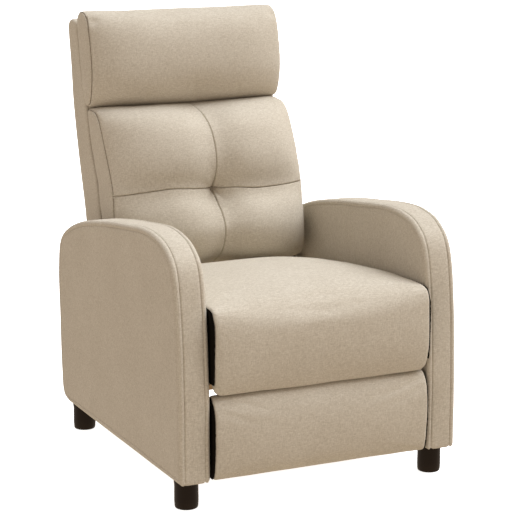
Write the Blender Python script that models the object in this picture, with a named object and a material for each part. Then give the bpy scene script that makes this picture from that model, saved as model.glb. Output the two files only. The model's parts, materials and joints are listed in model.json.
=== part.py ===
"""Push-back recliner armchair: wooden arm frames in upholstered covers, a seat that glides on
swing links, a folding footrest on a plate linkage and a hinged, upholstered back.

Metres, +Z up, the chair faces -Y, and the origin is on the floor at the middle of its box.
Depth d is measured from the arms' front face towards the back, so y = ARM_FRONT_Y + d.
"""
import math

import bmesh
import bpy
from mathutils import Vector
from mathutils.geometry import convex_hull_2d, tessellate_polygon

# Overall sizes
WIDTH = 0.670
DEPTH = 0.910
FRONT_OVERHANG = 0.020
ARM_FRONT_Y = FRONT_OVERHANG - DEPTH / 2
ARM_THICKNESS = 0.069
ARM_INNER_X = WIDTH / 2 - ARM_THICKNESS
ARM_BOTTOM_Z = 0.067
GAP = 0.0005

# Arm: the side outline above its straight front and bottom, as (d, z)
ARM_OUTLINE = (
    (0.000, 0.067), (0.000, 0.260), (0.008, 0.400), (0.030, 0.522), (0.075, 0.570),
    (0.135, 0.588), (0.211, 0.591), (0.334, 0.577), (0.459, 0.560), (0.587, 0.535),
    (0.690, 0.499), (0.740, 0.460), (0.752, 0.390), (0.748, 0.300), (0.727, 0.067),
)
ARM_EDGE = 0.009
ARM_FRAME_INSET = 0.022
ARM_FRAME_THICKNESS = 0.030

# Feet and their bolts
FOOT_RADIUS = 0.025
FOOT_TAPER = 0.004
FOOT_IN_FROM_SIDE = 0.0345
FOOT_DEPTHS = {"front": 0.051, "rear": 0.687}
BOLT_RADIUS = 0.004
BOLT_LOW_Z = 0.030
BOLT_HIGH_Z = 0.097

# Plates of the mechanism, on the +X side: the low and high X of each layer
PLATE = 0.003
SEAT_PLATE_X = (0.2465, 0.2495)
LAYER_1_X = (0.2425, 0.2455)
LAYER_2_X = (0.2385, 0.2415)
LAYER_3_X = (0.2345, 0.2375)
SWING_X = (0.2572, 0.2600)
BASE_RAIL_X = (0.2630, 0.2655)
LINK_HALF_WIDTH = 0.009
PIN_RADIUS = 0.004
PIN_HEAD_RADIUS = 0.0075
PIN_HEAD = 0.0018
PIN_PLAY = 0.0005

# Pivots as (d, z), with the chair upright and the footrest folded away
REAR_LINK_PIVOT = (0.1882, 0.2443)
FRONT_LINK_PIVOT = (0.1440, 0.2696)
REAR_TO_OUTER_PIVOT = (0.2964, 0.1718)
FRONT_TO_OUTER_PIVOT = (0.2498, 0.1955)
FRONT_TO_INNER_PIVOT = (0.2644, 0.1585)
FOOTREST_TOP_PIVOT = (0.0692, 0.2109)
FOOTREST_LOW_PIVOT = (0.0692, 0.1565)
OUTER_LINK_SLOT_RADIUS = 0.0062
FOOTREST_SLOT_RADIUS = 0.0087
SWING_LENGTH = 0.075
SWING_LEAN = math.radians(34)
SWING_BASE_PIVOTS = {"front": (0.120, 0.140), "rear": (0.500, 0.140)}
BACK_PIVOT = (0.615, 0.335)
CROSS_TUBE_RADIUS = 0.008

# Seat frame
SEAT_RAIL_Z = (0.290, 0.334)
SEAT_FRONT_RAIL_Z = 0.264
SEAT_FRONT_RAIL_D = (0.062, 0.084)
SEAT_REAR_RAIL_D = (0.500, 0.522)
SEAT_RAIL_X = (0.212, 0.2462)
SPRING_COUNT = 5
SPRING_WIRE_RADIUS = 0.0018
SPRING_HALF_WIDTH = 0.022
SPRING_BENDS = 7
SPRING_Z = SEAT_RAIL_Z[1] + SPRING_WIRE_RADIUS + 0.0007

# Cushion outlines as (d, z), at the middle of each cushion
SEAT_OUTLINE = (
    (-0.008, 0.258), (-0.017, 0.320), (-0.014, 0.385), (0.014, 0.434), (0.070, 0.457),
    (0.200, 0.468), (0.340, 0.456), (0.480, 0.432), (0.545, 0.416), (0.556, 0.375),
    (0.535, 0.343), (0.300, 0.343), (0.100, 0.343), (0.056, 0.336), (0.042, 0.300),
    (0.040, 0.258),
)
FOOTREST_OUTLINE = (
    (-0.006, 0.0715), (-0.018, 0.110), (-0.020, 0.170), (-0.015, 0.225), (-0.002, 0.2545),
    (0.026, 0.2545), (0.034, 0.220), (0.034, 0.110), (0.026, 0.0715),
)
# The back's two pads, as outlines at their middle and at their sides, where they are less full
BACK_CUSHION_MIDDLE = (
    (0.604, 0.404), (0.560, 0.412), (0.523, 0.445), (0.511, 0.490), (0.524, 0.535),
    (0.541, 0.585), (0.552, 0.635), (0.568, 0.685), (0.598, 0.735), (0.650, 0.766),
    (0.705, 0.772), (0.757, 0.770), (0.754, 0.735), (0.738, 0.675), (0.706, 0.604),
    (0.684, 0.525), (0.655, 0.440),
)
BACK_CUSHION_SIDE = (
    (0.615, 0.404), (0.592, 0.412), (0.580, 0.445), (0.584, 0.490), (0.598, 0.535),
    (0.620, 0.585), (0.645, 0.635), (0.672, 0.685), (0.702, 0.735), (0.728, 0.762),
    (0.742, 0.770), (0.757, 0.770), (0.754, 0.735), (0.738, 0.675), (0.706, 0.604),
    (0.684, 0.525), (0.655, 0.440),
)
HEADREST_MIDDLE = (
    (0.735, 0.776), (0.706, 0.785), (0.690, 0.815), (0.686, 0.860), (0.692, 0.910),
    (0.710, 0.955), (0.745, 0.984), (0.785, 0.992), (0.815, 0.984), (0.824, 0.960),
    (0.812, 0.920), (0.798, 0.850), (0.776, 0.776),
)
HEADREST_SIDE = (
    (0.760, 0.776), (0.750, 0.785), (0.740, 0.815), (0.733, 0.860), (0.739, 0.910),
    (0.752, 0.955), (0.775, 0.984), (0.795, 0.992), (0.817, 0.988), (0.824, 0.960),
    (0.812, 0.920), (0.798, 0.850), (0.776, 0.776),
)
SEAT_HALF_WIDTH = 0.256
FOOTREST_HALF_WIDTH = 0.251
BACK_CUSHION_HALF_WIDTH = 0.2415
HEADREST_HALF_WIDTH = 0.2525

# Back frame and the padded panel behind it: their front lines, bottom to top
BACK_FRONT_LINE = (
    (0.655, 0.360), (0.672, 0.430), (0.695, 0.525), (0.715, 0.604), (0.750, 0.673),
    (0.771, 0.759), (0.805, 0.860), (0.829, 0.975),
)
BACK_REAR_LINE = (
    (0.770, 0.345), (0.772, 0.420), (0.792, 0.510), (0.814, 0.580), (0.842, 0.665),
    (0.866, 0.770), (0.883, 0.880), (0.890, 0.975),
)
BACK_PANEL_HALF_WIDTH = 0.252
BACK_PANEL_WALL = 0.0055
BACK_PANEL_REAR_WALL = 0.012
POST_X = (0.206, 0.242)
POST_DEPTH = 0.030
POST_BEHIND_LINE = 0.006
BACK_RAIL_HEIGHTS = {"back_lower_rail": (0.370, 0.420), "back_top_rail": (0.895, 0.945)}

COLOURS = {
    "linen_fabric": ((0.55, 0.48, 0.36), 0.9, 0.0),
    "frame_wood": ((0.52, 0.36, 0.20), 0.6, 0.0),
    "mechanism_steel": ((0.03, 0.03, 0.032), 0.4, 0.8),
    "foot_plastic": ((0.030, 0.018, 0.012), 0.45, 0.0),
    "zinc_steel": ((0.60, 0.60, 0.58), 0.35, 1.0),
}


def clear_scene():
    for obj in list(bpy.data.objects):
        bpy.data.objects.remove(obj)


def material(kind, name):
    """A Principled material for one sub-part, in one of the chair's finishes."""
    colour, roughness, metallic = COLOURS[kind]
    made = bpy.data.materials.new(f"{name}_{kind}")
    made.use_nodes = True
    shader = made.node_tree.nodes["Principled BSDF"]
    shader.inputs["Base Color"].default_value = (*colour, 1.0)
    shader.inputs["Roughness"].default_value = roughness
    shader.inputs["Metallic"].default_value = metallic
    return made


def finish(bm, name, kind, parent=None, smooth_angle=35):
    """Turns a bmesh into a named object, moving its origin to its parent's axis."""
    bmesh.ops.recalc_face_normals(bm, faces=bm.faces)
    mesh = bpy.data.meshes.new(name)
    bm.to_mesh(mesh)
    bm.free()
    mesh.shade_smooth()
    mesh.set_sharp_from_angle(angle=math.radians(smooth_angle))
    obj = bpy.data.objects.new(name, mesh)
    bpy.context.scene.collection.objects.link(obj)
    obj.data.materials.append(material(kind, name))
    attach(obj, parent)
    return obj


def attach(obj, parent):
    """Parents an object whose mesh is in world coordinates, so that its origin is on the joint's axis."""
    if parent is None:
        return
    obj.parent = parent
    for vertex in getattr(obj.data, "vertices", []):
        vertex.co -= parent.location


def joint_empty(name, pivot):
    """An empty on a joint's axis, which runs along X through the pivot."""
    empty = bpy.data.objects.new(name, None)
    empty.location = place(0, pivot)
    empty.empty_display_size = 0.05
    bpy.context.scene.collection.objects.link(empty)
    return empty


def place(x, point):
    """World point from an X and a (d, z) pair."""
    return Vector((x, ARM_FRONT_Y + point[0], point[1]))


def spline(points, steps, closed=False):
    """Catmull-Rom curve through 2D points, `steps` stretches between each two."""
    count = len(points)
    spans = count if closed else count - 1
    result = []
    for i in range(spans):
        p = []
        for k in (i - 1, i, i + 1, i + 2):
            p.append(Vector(points[k % count] if closed else points[min(max(k, 0), count - 1)]))
        for step in range(steps):
            t = step / steps
            result.append(tuple(
                0.5 * (2 * p[1] + (p[2] - p[0]) * t
                       + (2 * p[0] - 5 * p[1] + 4 * p[2] - p[3]) * t * t
                       + (3 * p[1] - p[0] - 3 * p[2] + p[3]) * t ** 3)))
    if not closed:
        result.append(tuple(points[-1]))
    return result


def circle(centre, radius, sides=12):
    turn = 2 * math.pi / sides
    return [(centre[0] + radius * math.cos((i + 0.5) * turn),
             centre[1] + radius * math.sin((i + 0.5) * turn)) for i in range(sides)]


def hull(*outlines):
    """Outline of the convex hull of several outlines."""
    points = [point for outline in outlines for point in outline]
    return [points[i] for i in convex_hull_2d(points)]


def inset(points, amount):
    """Moves an open line's points to its right, square to the line. A negative amount moves them left."""
    last = len(points) - 1
    moved = []
    for i, (d, z) in enumerate(points):
        along = Vector(points[min(i + 1, last)]) - Vector(points[max(i - 1, 0)])
        along.normalize()
        moved.append((d + along.y * amount, z - along.x * amount))
    return moved


def with_flat_bottom(points, z):
    """The same line with both its ends at one height."""
    return [(points[0][0], z)] + points[1:-1] + [(points[-1][0], z)]


def plate(name, outline, x_range, kind, holes=(), pins=(), side=1, parent=None):
    """A flat piece across X from a (d, z) outline.

    holes are (centre, radius) through it. pins are (centre, direction, profile, sides), each a
    turned shape on the face that looks along direction times X, whose profile lists (radius,
    distance from that face).
    """
    bm = bmesh.new()
    x_of = {-1: min(x_range), 1: max(x_range)}
    hole_rings = [circle(centre, radius) for centre, radius in holes]

    def loop(points, x):
        return [bm.verts.new(place(side * x, point)) for point in points]

    def wall(first, second):
        for i in range(len(first)):
            bm.faces.new((first[i - 1], first[i], second[i], second[i - 1]))

    made = {}
    for direction, x in x_of.items():
        rings = [outline] + hole_rings
        rings += [circle(pin[0], pin[2][0][0], pin[3]) for pin in pins if pin[1] == direction]
        loops = [loop(ring, x) for ring in rings]
        made[direction] = loops
        flat = [vertex for ring in loops for vertex in ring]
        shape = [[Vector((*point, 0)) for point in ring] for ring in rings]
        for triangle in tessellate_polygon(shape):
            bm.faces.new([flat[i] for i in triangle])
        own_pins = [pin for pin in pins if pin[1] == direction]
        for pin, ring in zip(own_pins, loops[1 + len(hole_rings):]):
            last = ring
            for radius, distance in pin[2][1:]:
                following = loop(circle(pin[0], radius, pin[3]), x + direction * distance)
                wall(last, following)
                last = following
            bm.faces.new(last)
    for low, high in zip(made[-1][:1 + len(hole_rings)], made[1][:1 + len(hole_rings)]):
        wall(low, high)
    return finish(bm, name, kind, parent)


def rivet(centre, direction, reach, radius=PIN_RADIUS, head=PIN_HEAD_RADIUS):
    """A pin that runs `reach` out of its plate and ends in a flat head."""
    profile = ((radius, 0), (radius, reach), (head, reach), (head, reach + PIN_HEAD))
    return (centre, direction, profile, 12)


def bolt_head(centre, direction, radius=0.0065, height=0.004):
    return (centre, direction, ((radius, 0), (radius, height)), 6)


def box(name, x_range, d_range, z_range, kind, parent=None, bevel=0.0015):
    bm = bmesh.new()
    bmesh.ops.create_cube(bm, size=1)
    low = place(x_range[0], (d_range[0], z_range[0]))
    high = place(x_range[1], (d_range[1], z_range[1]))
    for vertex in bm.verts:
        vertex.co = Vector(low[i] if vertex.co[i] < 0 else high[i] for i in range(3))
    if bevel:
        bmesh.ops.bevel(bm, geom=bm.edges, offset=bevel, segments=1, affect="EDGES")
    return finish(bm, name, kind, parent)


def loft(name, sections, kind, parent=None):
    """A closed body through equal-length outlines, each given as (x, outline)."""
    bm = bmesh.new()
    loops = [[bm.verts.new(place(x, point)) for point in outline] for x, outline in sections]
    for first, second in zip(loops, loops[1:]):
        for i in range(len(first)):
            bm.faces.new((first[i - 1], first[i], second[i], second[i - 1]))
    bm.faces.new(loops[0])
    bm.faces.new(loops[-1])
    return finish(bm, name, kind, parent, smooth_angle=60)


def limited_spline(outline, steps=2):
    """A closed spline that stays inside the box of its own points."""
    low, high = ([pick(p[i] for p in outline) for i in range(2)] for pick in (min, max))
    return [tuple(min(max(p[i], low[i]), high[i]) for i in range(2))
            for p in spline(outline, steps, closed=True)]


def cushion(name, middle, side, half_width, parent, end_fall=0.10):
    """A crowned pad, whose outline goes from `middle` at X = 0 to the less full `side` at its ends."""
    middle, side = limited_spline(middle), limited_spline(side)
    centre = [sum(p[i] for p in side) / len(side) for i in range(2)]
    sections = []
    for part in (-1, -0.985, -0.93, -0.75, -0.4, 0, 0.4, 0.75, 0.93, 0.985, 1):
        full = 1 - abs(part) ** 2.5
        keep = 1 - end_fall * (0.35 * (abs(part) > 0.98) + 0.65 * (abs(part) == 1))
        outline = [[s[i] + (m[i] - s[i]) * full for i in range(2)] for m, s in zip(middle, side)]
        sections.append((part * half_width, [
            tuple(centre[i] + (point[i] - centre[i]) * keep for i in range(2))
            for point in outline]))
    return loft(name, sections, "linen_fabric", parent)


def narrowed(outline, fall):
    """An outline drawn in towards the middle of its box by a share of its size in d and in z."""
    low, high = ([pick(p[i] for p in outline) for i in range(2)] for pick in (min, max))
    return [tuple(p[i] + fall[i] * ((low[i] + high[i]) / 2 - p[i]) for i in range(2))
            for p in outline]


def cut(obj, cutter):
    """Removes the cutter's shape from an object; the cutter isn't part of the chair."""
    cutter.hide_render = True
    cutter.display_type = "WIRE"
    boolean = obj.modifiers.new(cutter.name, "BOOLEAN")
    boolean.operation = "DIFFERENCE"
    boolean.object = cutter


def join(obj, other):
    """Unites a helper shape with an object; the helper isn't a piece of its own."""
    other.hide_render = True
    other.display_type = "WIRE"
    boolean = obj.modifiers.new(other.name, "BOOLEAN")
    boolean.operation = "UNION"
    boolean.object = other


def upright_cylinder(name, x, d, radius, z_range, kind, sides=16):
    bm = bmesh.new()
    loops = []
    for z in z_range:
        ring = circle((x, ARM_FRONT_Y + d), radius, sides)
        loops.append([bm.verts.new((*point, z)) for point in ring])
    for i in range(sides):
        bm.faces.new((loops[0][i - 1], loops[0][i], loops[1][i], loops[1][i - 1]))
    bm.faces.new(loops[0])
    bm.faces.new(loops[1])
    return finish(bm, name, kind)


def foot(name, x, d):
    """A round foot, tapered downwards, with a blind hole for its bolt."""
    profile = (
        (BOLT_RADIUS + GAP, BOLT_LOW_Z - GAP), (BOLT_RADIUS + GAP, ARM_BOTTOM_Z - GAP),
        (FOOT_RADIUS, ARM_BOTTOM_Z - GAP), (FOOT_RADIUS, ARM_BOTTOM_Z - 0.012),
        (FOOT_RADIUS - FOOT_TAPER, 0.003), (FOOT_RADIUS - FOOT_TAPER - 0.003, 0.0),
    )
    bm = bmesh.new()
    sides = 24
    loops = []
    for radius, z in profile:
        ring = circle((x, ARM_FRONT_Y + d), radius, sides)
        loops.append([bm.verts.new((*point, z)) for point in ring])
    for first, second in zip(loops, loops[1:]):
        for i in range(sides):
            bm.faces.new((first[i - 1], first[i], second[i], second[i - 1]))
    bm.faces.new(loops[0])
    bm.faces.new(loops[-1])
    return finish(bm, name, "foot_plastic")


def side_names():
    """Each side's name and the sign of its X. Left and right are the sitter's."""
    return (("left", 1), ("right", -1))


def make_arm(name, side):
    """The padded cover, a sleeve open at the bottom, over the wooden arm frame."""
    outline = spline(ARM_OUTLINE, 2)
    outer, inner = side * WIDTH / 2, side * ARM_INNER_X
    edge = side * ARM_EDGE
    shallow = with_flat_bottom(inset(outline, ARM_EDGE * 0.75), ARM_BOTTOM_Z)
    rounded = with_flat_bottom(inset(outline, ARM_EDGE * 0.2), ARM_BOTTOM_Z)
    sections = [
        (inner, shallow), (inner + 0.25 * edge, rounded), (inner + edge, outline),
        (outer - edge, outline), (outer - 0.25 * edge, rounded), (outer, shallow),
    ]
    cover = loft(f"arm_cover_{name}", sections, "linen_fabric")

    frame_outline = with_flat_bottom(inset(outline, ARM_FRAME_INSET), ARM_BOTTOM_Z + GAP)
    middle = (WIDTH - ARM_THICKNESS) / 2
    half = ARM_FRAME_THICKNESS / 2
    frame = plate(f"arm_frame_{name}", frame_outline, (middle - half, middle + half),
                  "frame_wood", side=side)
    pocket_outline = with_flat_bottom(inset(outline, ARM_FRAME_INSET - GAP), ARM_BOTTOM_Z - 0.01)
    pocket = plate(f"pocket_{name}", pocket_outline, (middle - half - GAP, middle + half + GAP),
                   "frame_wood", side=side)
    cut(cover, pocket)

    for end, d in FOOT_DEPTHS.items():
        x = side * (WIDTH / 2 - FOOT_IN_FROM_SIDE)
        foot(f"foot_{end}_{name}", x, d)
        upright_cylinder(f"foot_bolt_{end}_{name}", x, d, BOLT_RADIUS, (BOLT_LOW_Z, BOLT_HIGH_Z),
                         "zinc_steel")
        hole = upright_cylinder(f"bolt_hole_{end}_{name}", x, d, BOLT_RADIUS + GAP,
                                (ARM_BOTTOM_Z - 0.02, BOLT_HIGH_Z + GAP), "frame_wood")
        cut(frame, hole)


def make_base():
    """Arms with their feet, the two stretchers and the steel rails that carry the swing links."""
    for name, side in side_names():
        make_arm(name, side)
        low_x, high_x = BASE_RAIL_X
        pins = [rivet(pivot, -1, low_x - SWING_X[0] + PIN_PLAY)
                for pivot in SWING_BASE_PIVOTS.values()]
        pins += [bolt_head((d, 0.140), -1) for d in (0.225, 0.360, 0.600)]
        outline = hull(circle((0.075, 0.140), 0.018), circle((0.665, 0.140), 0.018))
        plate(f"base_rail_{name}", outline, (low_x, high_x), "mechanism_steel",
              pins=pins, side=side)
    reach = ARM_INNER_X - GAP
    box("front_stretcher", (-reach, reach), (0.098, 0.158), (0.068, 0.089), "frame_wood")
    box("rear_stretcher", (-reach, reach), (0.640, 0.662), (0.068, 0.118), "frame_wood")


def swing_seat_pivot(base_pivot):
    """Upper pivot of a swing link, which leans back at rest."""
    return (base_pivot[0] + SWING_LENGTH * math.sin(SWING_LEAN),
            base_pivot[1] + SWING_LENGTH * math.cos(SWING_LEAN))


def make_swing_links():
    for end, pivot in SWING_BASE_PIVOTS.items():
        joint = joint_empty(f"{end}_swing_joint", pivot)
        upper = swing_seat_pivot(pivot)
        for name, side in side_names():
            plate(f"swing_link_{end}_{name}", hull(circle(pivot, 0.013), circle(upper, 0.013)),
                  SWING_X, "mechanism_steel", side=side, parent=joint,
                  holes=[(pivot, PIN_RADIUS + PIN_PLAY), (upper, PIN_RADIUS + PIN_PLAY)])


def seat_plate_outline():
    """Side plate of the seat: a strip under the seat with an ear for each pivot below and behind."""
    front_ear = swing_seat_pivot(SWING_BASE_PIVOTS["front"])
    rear_ear = swing_seat_pivot(SWING_BASE_PIVOTS["rear"])
    ear = 0.014
    return [
        (0.100, 0.325), (0.092, 0.300), (0.105, 0.268), (front_ear[0] - 0.020, 0.240),
        (front_ear[0] - ear, front_ear[1]), (front_ear[0] - 0.010, front_ear[1] - 0.010),
        (front_ear[0], front_ear[1] - ear), (front_ear[0] + 0.010, front_ear[1] - 0.010),
        (front_ear[0] + ear, front_ear[1]), (0.212, 0.236), (0.300, 0.252), (0.470, 0.252),
        (rear_ear[0] - 0.020, 0.232), (rear_ear[0] - ear, rear_ear[1]),
        (rear_ear[0] - 0.010, rear_ear[1] - 0.010), (rear_ear[0], rear_ear[1] - ear),
        (rear_ear[0] + 0.010, rear_ear[1] - 0.010), (rear_ear[0] + ear, rear_ear[1]),
        (0.580, 0.262), (0.622, 0.316), (BACK_PIVOT[0] + 0.016, BACK_PIVOT[1]),
        (BACK_PIVOT[0] + 0.010, BACK_PIVOT[1] + 0.012), (BACK_PIVOT[0], BACK_PIVOT[1] + 0.016),
        (BACK_PIVOT[0] - 0.012, BACK_PIVOT[1] + 0.010), (0.560, 0.325),
    ]


def seat_spring(name, x):
    """A serpentine wire from the front rail to the rear rail, laid on top of both."""
    start = SEAT_FRONT_RAIL_D[0] + 0.006
    end = SEAT_REAR_RAIL_D[1] - 0.006
    curve = bpy.data.curves.new(name, "CURVE")
    curve.dimensions = "3D"
    curve.bevel_depth = SPRING_WIRE_RADIUS
    curve.bevel_resolution = 1
    curve.use_fill_caps = True
    count = SPRING_BENDS * 6
    path = curve.splines.new("POLY")
    path.points.add(count)
    for i, point in enumerate(path.points):
        part = i / count
        swing = math.sin(2 * math.pi * part * SPRING_BENDS)
        calm = min(1, 12 * part, 12 * (1 - part))
        rise = 0.003 * math.sin(math.pi * part)
        point.co = (*place(x + SPRING_HALF_WIDTH * swing * calm,
                           (start + part * (end - start), SPRING_Z + rise)), 1)
    obj = bpy.data.objects.new(name, curve)
    bpy.context.scene.collection.objects.link(obj)
    curve.materials.append(material("zinc_steel", name))


def make_seat():
    """Side plates, the wooden seat frame, its springs and the cushion that rolls over the front."""
    for name, side in side_names():
        reach = SWING_X[1] - SEAT_PLATE_X[1] + PIN_PLAY
        pins = [rivet(swing_seat_pivot(pivot), 1, reach) for pivot in SWING_BASE_PIVOTS.values()]
        pins += [bolt_head((d, 0.306), 1, height=0.003) for d in (0.150, 0.300, 0.450)]
        holes = [(pivot, PIN_RADIUS + PIN_PLAY)
                 for pivot in (REAR_LINK_PIVOT, FRONT_LINK_PIVOT, BACK_PIVOT)]
        plate(f"seat_plate_{name}", seat_plate_outline(), SEAT_PLATE_X, "mechanism_steel",
              holes=holes, pins=pins, side=side)
        x_range = sorted(side * x for x in SEAT_RAIL_X)
        box(f"seat_side_rail_{name}", x_range,
            (SEAT_FRONT_RAIL_D[1] + GAP, SEAT_REAR_RAIL_D[0] - GAP), SEAT_RAIL_Z, "frame_wood")
    reach = SEAT_RAIL_X[1]
    box("seat_front_rail", (-reach, reach), SEAT_FRONT_RAIL_D,
        (SEAT_FRONT_RAIL_Z, SEAT_RAIL_Z[1]), "frame_wood")
    box("seat_rear_rail", (-reach, reach), SEAT_REAR_RAIL_D, SEAT_RAIL_Z, "frame_wood")
    for i in range(SPRING_COUNT):
        seat_spring(f"seat_spring_{i + 1}", (i - (SPRING_COUNT - 1) / 2) * 0.085)
    cushion("seat_cushion", SEAT_OUTLINE, narrowed(SEAT_OUTLINE, (0.012, 0.10)), SEAT_HALF_WIDTH, None)


def make_footrest_links():
    """The folding plate linkage that carries the footrest, the same on both sides."""
    rear = joint_empty("rear_link_joint", REAR_LINK_PIVOT)
    front = joint_empty("front_link_joint", FRONT_LINK_PIVOT)
    outer = joint_empty("outer_link_joint", FRONT_TO_OUTER_PIVOT)
    inner = joint_empty("inner_link_joint", FRONT_TO_INNER_PIVOT)
    play = PIN_RADIUS + PIN_PLAY

    def bar(*pivots):
        return hull(*(circle(pivot, LINK_HALF_WIDTH) for pivot in pivots))

    outwards = SEAT_PLATE_X[1] + PIN_PLAY
    inwards = LAYER_3_X[0] - PIN_PLAY
    for name, side in side_names():
        plate(f"rear_footrest_link_{name}", bar(REAR_LINK_PIVOT, REAR_TO_OUTER_PIVOT), LAYER_1_X,
              "mechanism_steel", side=side, parent=rear, pins=[
                  rivet(REAR_LINK_PIVOT, 1, outwards - LAYER_1_X[1]),
                  rivet(REAR_TO_OUTER_PIVOT, -1, LAYER_1_X[0] - inwards, head=0.0085)])
        plate(f"front_footrest_link_{name}",
              bar(FRONT_LINK_PIVOT, FRONT_TO_OUTER_PIVOT, FRONT_TO_INNER_PIVOT), LAYER_2_X,
              "mechanism_steel", side=side, parent=front, pins=[
                  rivet(FRONT_LINK_PIVOT, 1, outwards - LAYER_2_X[1]),
                  rivet(FRONT_TO_OUTER_PIVOT, -1, LAYER_2_X[0] - inwards),
                  rivet(FRONT_TO_INNER_PIVOT, 1, LAYER_1_X[1] - LAYER_2_X[1] + PIN_PLAY)])
        plate(f"outer_footrest_link_{name}",
              bar(REAR_TO_OUTER_PIVOT, FRONT_TO_OUTER_PIVOT, FOOTREST_TOP_PIVOT), LAYER_3_X,
              "mechanism_steel", side=side, parent=outer, holes=[
                  (REAR_TO_OUTER_PIVOT, OUTER_LINK_SLOT_RADIUS),
                  (FRONT_TO_OUTER_PIVOT, play), (FOOTREST_TOP_PIVOT, play)])
        plate(f"inner_footrest_link_{name}", bar(FRONT_TO_INNER_PIVOT, FOOTREST_LOW_PIVOT),
              LAYER_1_X, "mechanism_steel", side=side, parent=inner,
              holes=[(FRONT_TO_INNER_PIVOT, play)],
              pins=[rivet(FOOTREST_LOW_PIVOT, -1, LAYER_1_X[0] - LAYER_2_X[0] + PIN_PLAY,
                          radius=0.003, head=0.0105)])
    middle = tuple((a + b) / 2 for a, b in zip(FRONT_LINK_PIVOT, FRONT_TO_OUTER_PIVOT))
    reach = LAYER_2_X[0] - GAP
    plate("footrest_cross_tube", circle(middle, CROSS_TUBE_RADIUS), (-reach, reach),
          "mechanism_steel", parent=front, holes=[(middle, CROSS_TUBE_RADIUS - 0.0015)])


def make_footrest():
    """Footrest pad on its board, with a steel bracket at each side."""
    joint = joint_empty("footrest_joint", FOOTREST_TOP_PIVOT)
    board_d = (0.0355, 0.0475)
    flange_d = (board_d[1] + GAP, board_d[1] + GAP + PLATE)
    for name, side in side_names():
        outline = hull(circle(FOOTREST_TOP_PIVOT, 0.011), circle(FOOTREST_LOW_PIVOT, 0.0125),
                       [(flange_d[0], 0.140), (flange_d[0], 0.228)])
        bracket = plate(
            f"footrest_bracket_{name}", outline, LAYER_2_X, "mechanism_steel", side=side,
            parent=joint, holes=[(FOOTREST_LOW_PIVOT, FOOTREST_SLOT_RADIUS)],
            pins=[rivet(FOOTREST_TOP_PIVOT, -1, LAYER_2_X[0] - LAYER_3_X[0] + PIN_PLAY)])
        x_range = sorted(side * x for x in (0.196, LAYER_2_X[1] - 0.0005))
        flange = box(f"flange_{name}", x_range, flange_d, (0.1405, 0.2275), "mechanism_steel",
                     parent=joint, bevel=0)
        join(bracket, flange)
    box("footrest_board", (-0.232, 0.232), board_d, (0.085, 0.243), "frame_wood", parent=joint)
    cushion("footrest_pad", FOOTREST_OUTLINE, narrowed(FOOTREST_OUTLINE, (0.20, 0.05)),
            FOOTREST_HALF_WIDTH, joint)


def line_at(line, z):
    """Depth of a bottom-to-top line at a height."""
    for low, high in zip(line, line[1:]):
        if z <= high[1]:
            break
    return low[0] + (high[0] - low[0]) * (z - low[1]) / (high[1] - low[1])


def make_back():
    """Back frame of two posts and two rails, its padded rear panel, the cushion and the headrest."""
    joint = joint_empty("back_joint", BACK_PIVOT)
    front_line = spline(BACK_FRONT_LINE, 2)
    rear_line = spline(BACK_REAR_LINE, 2)
    for name, side in side_names():
        front = [(d + POST_BEHIND_LINE, z) for d, z in front_line if z < 0.95]
        outline = front + [(d + POST_DEPTH, z) for d, z in reversed(front)]
        plate(f"back_post_{name}", outline, POST_X, "frame_wood", side=side, parent=joint)
        outline = hull(circle(BACK_PIVOT, 0.015), circle((0.692, 0.385), 0.012),
                       circle((0.716, 0.470), 0.010))
        plate(f"back_bracket_{name}", outline, LAYER_1_X, "mechanism_steel", side=side,
              parent=joint, pins=[rivet(BACK_PIVOT, 1, SEAT_PLATE_X[1] - LAYER_1_X[1] + PIN_PLAY)])
    reach = POST_X[0] - GAP
    for name, (low, high) in BACK_RAIL_HEIGHTS.items():
        d = line_at(front_line, high) + POST_BEHIND_LINE
        box(name, (-reach, reach), (d, d + 0.020), (low, high), "frame_wood", parent=joint)

    shell = front_line + rear_line[::-1]
    half = BACK_PANEL_HALF_WIDTH
    panel = plate("back_panel", shell, (-half, half), "linen_fabric", parent=joint)
    hollow_front = [(d - 0.05, z) for d, z in front_line]
    hollow_rear = [(d - BACK_PANEL_REAR_WALL, z) for d, z in rear_line]
    hollow = hollow_front + hollow_rear[::-1]
    top = BACK_REAR_LINE[-1][1] - 0.010
    hollow = [(d, min(z, top) if z > 0.5 else z - 0.03 * (z < 0.365)) for d, z in hollow]
    half -= BACK_PANEL_WALL
    cutter = plate("back_panel_hollow", hollow, (-half, half), "linen_fabric", parent=joint)
    cut(panel, cutter)
    cushion("back_cushion", BACK_CUSHION_MIDDLE, BACK_CUSHION_SIDE, BACK_CUSHION_HALF_WIDTH, joint)
    cushion("headrest", HEADREST_MIDDLE, HEADREST_SIDE, HEADREST_HALF_WIDTH, joint)


clear_scene()
make_base()
make_swing_links()
make_seat()
make_footrest_links()
make_footrest()
make_back()
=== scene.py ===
"""The looks of a push-back recliner armchair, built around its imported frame.

Metres, +Z up, the chair faces -Y. Depth d is measured from the arms' front face towards the back,
and side outlines are lists of (d, z). Left is the sitter's left, at +X.
"""
import json
import math

import bmesh
import bpy
import numpy as np
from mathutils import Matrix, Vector, bvhtree, kdtree, noise

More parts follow.
